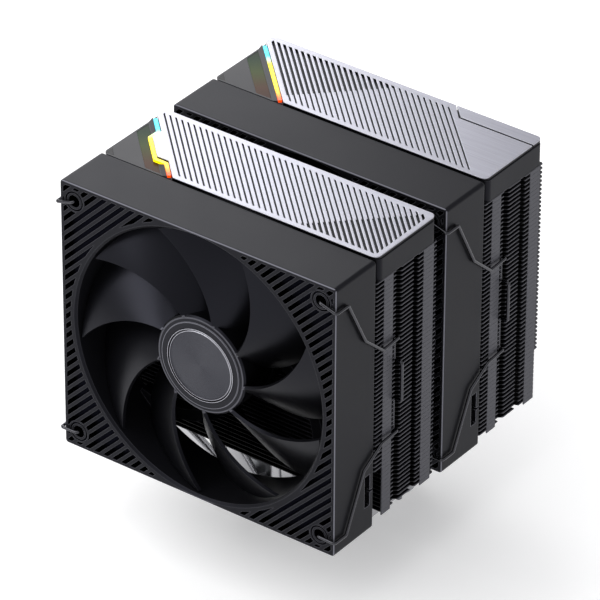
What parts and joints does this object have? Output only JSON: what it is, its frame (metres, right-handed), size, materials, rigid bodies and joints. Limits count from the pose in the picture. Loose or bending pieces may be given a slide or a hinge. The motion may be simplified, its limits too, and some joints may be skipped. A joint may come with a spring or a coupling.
{
  "type": "cpu tower cooler",
  "caption": "Dual-tower processor cooler: finned heat-pipe towers, two axial fans held by wire clips, and slotted silver top covers with lit edges.",
  "frame": {"origin": "centre of the cold plate's contact face, which rests on the processor", "axes": "+Z away from the processor, up the towers; air enters the front fan at -Y and leaves at +Y; +X is the right side seen from the front fan"},
  "size_m": [0.1354, 0.1367, 0.158],
  "materials": {
    "nickel": "satin nickel plating",
    "block_aluminium": "machined",
    "steel": "plated",
    "fin_black": "black satin coating",
    "silver_plate": "fine brushed anodised",
    "cover_plastic": "satin",
    "panel_plastic": "satin",
    "smoked_plastic": "smoked, gloss",
    "light_plastic": "lit diffuser",
    "board": "lacquered",
    "fan_plastic": "satin",
    "impeller_plastic": "gloss",
    "hub_metal": "spun",
    "magnet": "bonded ferrite",
    "bearing_brass": "turned",
    "copper_wire": "enamelled copper",
    "pad_rubber": "matte",
    "clip_steel": "blackened"
  },
  "bodies": {
    "root": {"bar_screws": "steel", "bearing_front": "bearing_brass", "bearing_rear": "bearing_brass", "block_screws": "steel", "cold_plate": "nickel", "corner_tips": "silver_plate", "cover_tray_front": "cover_plastic", "cover_tray_rear": "cover_plastic", "end_panel_front": "panel_plastic", "end_panel_rear": "panel_plastic", "fan_frame_front": "fan_plastic", "fan_frame_rear": "fan_plastic", "fan_pads": "pad_rubber", "fins_front": "fin_black", "fins_rear": "fin_black", "heat_pipe_1": "nickel", "heat_pipe_2": "nickel", "heat_pipe_3": "nickel", "heat_pipe_4": "nickel", "heat_pipe_5": "nickel", "heat_pipe_6": "nickel", "heat_pipe_7": "nickel", "led_board_front": "board", "led_board_rear": "board", "light_bar_front": "light_plastic", "light_bar_rear": "light_plastic", "motor_board_front": "board", "motor_board_rear": "board", "mounting_bar": "steel", "pipe_block": "block_aluminium", "rear_corner_plate": "silver_plate", "screw_spring_left": "steel", "screw_spring_right": "steel", "smoked_strip_front": "smoked_plastic", "smoked_strip_rear": "smoked_plastic", "stator_core_front": "steel", "stator_core_rear": "steel", "top_plate_front": "silver_plate", "top_plate_rear": "silver_plate", "windings_front": "copper_wire", "windings_rear": "copper_wire"},
    "rotor_front": {"impeller_front": "impeller_plastic", "hub_cap_front": "hub_metal", "rotor_cup_front": "steel", "magnet_ring_front": "magnet", "motor_shaft_front": "steel"},
    "rotor_rear": {"impeller_rear": "impeller_plastic", "hub_cap_rear": "hub_metal", "rotor_cup_rear": "steel", "magnet_ring_rear": "magnet", "motor_shaft_rear": "steel"},
    "clip_front_left": {"clip_front_left": "clip_steel"},
    "clip_front_right": {"clip_front_right": "clip_steel"},
    "clip_rear_left": {"clip_rear_left": "clip_steel"},
    "clip_rear_right": {"clip_rear_right": "clip_steel"},
    "retainer_left": {"screw_retainer_left": "steel"},
    "spring_screw_left": {"spring_screw_left": "steel"},
    "retainer_right": {"screw_retainer_right": "steel"},
    "spring_screw_right": {"spring_screw_right": "steel"}
  },
  "joints": [
    {"name": "rotor_front_spin", "type": "hinge", "parent": "root", "child": "rotor_front", "pos_m": [0, -0.068, 0.0973], "axis": [0, 1, 0], "continuous": true},
    {"name": "rotor_rear_spin", "type": "hinge", "parent": "root", "child": "rotor_rear", "pos_m": [0, 0.002, 0.0973], "axis": [0, 1, 0], "continuous": true},
    {"name": "clip_front_left_swing", "type": "hinge", "parent": "root", "child": "clip_front_left", "pos_m": [-0.0581, -0.0795, 0.0973], "axis": [0, 0, 1], "range_deg": [0, 22]},
    {"name": "clip_front_right_swing", "type": "hinge", "parent": "root", "child": "clip_front_right", "pos_m": [0.0581, -0.0795, 0.0973], "axis": [0, 0, -1], "range_deg": [0, 22]},
    {"name": "clip_rear_left_swing", "type": "hinge", "parent": "root", "child": "clip_rear_left", "pos_m": [-0.0581, -0.0095, 0.0973], "axis": [0, 0, 1], "range_deg": [0, 22]},
    {"name": "clip_rear_right_swing", "type": "hinge", "parent": "root", "child": "clip_rear_right", "pos_m": [0.0581, -0.0095, 0.0973], "axis": [0, 0, -1], "range_deg": [0, 22]},
    {"name": "screw_left_press", "type": "slide", "parent": "root", "child": "retainer_left", "axis": [0, 0, -1], "range_m": [0, 0.004], "stiffness_N_per_m": 1000, "springref_m": -0.004, "deforming": ["screw_spring_left"]},
    {"name": "screw_left_turn", "type": "hinge", "parent": "retainer_left", "child": "spring_screw_left", "pos_m": [-0.0375, 0, 0.02], "axis": [0, 0, 1], "continuous": true},
    {"name": "screw_right_press", "type": "slide", "parent": "root", "child": "retainer_right", "axis": [0, 0, -1], "range_m": [0, 0.004], "stiffness_N_per_m": 1000, "springref_m": -0.004, "deforming": ["screw_spring_right"]},
    {"name": "screw_right_turn", "type": "hinge", "parent": "retainer_right", "child": "spring_screw_right", "pos_m": [0.0375, 0, 0.02], "axis": [0, 0, 1], "continuous": true}
  ]
}
